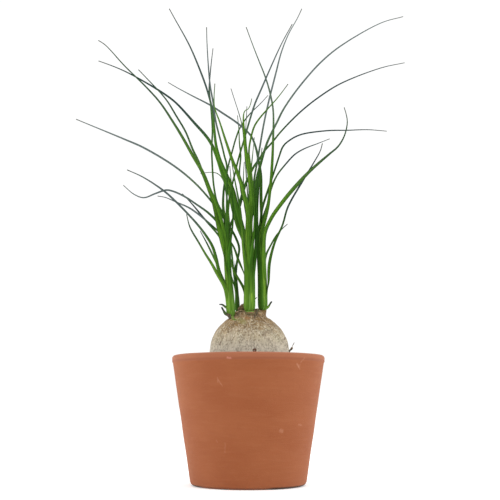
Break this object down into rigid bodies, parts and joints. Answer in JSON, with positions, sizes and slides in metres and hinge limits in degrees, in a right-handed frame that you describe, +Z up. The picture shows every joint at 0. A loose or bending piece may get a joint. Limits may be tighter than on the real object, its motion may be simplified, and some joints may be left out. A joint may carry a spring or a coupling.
{
  "type": "potted plant",
  "caption": "Young ponytail palm with a swollen grey trunk base and long thin arching leaves in leafy shoots, planted in a round tapered clay pot with a short collar.",
  "frame": {"origin": "middle of the pot's underside, on the surface that the pot stands on", "axes": "+Z up along the pot's axis, -Y towards the picture's viewer, +X to the viewer's right"},
  "size_m": [0.3274, 0.2523, 0.4579],
  "materials": {
    "terracotta": "matte",
    "soil": "matte",
    "bark": "matte",
    "leaf": "satin",
    "leaf_dark": "satin"
  },
  "bodies": {
    "root": {"pot": "terracotta", "soil": "soil", "caudex": "bark", "shoot_left": "leaf", "shoot_back": "leaf_dark", "shoot_centre": "leaf", "shoot_right": "leaf"}
  },
  "joints": []
}
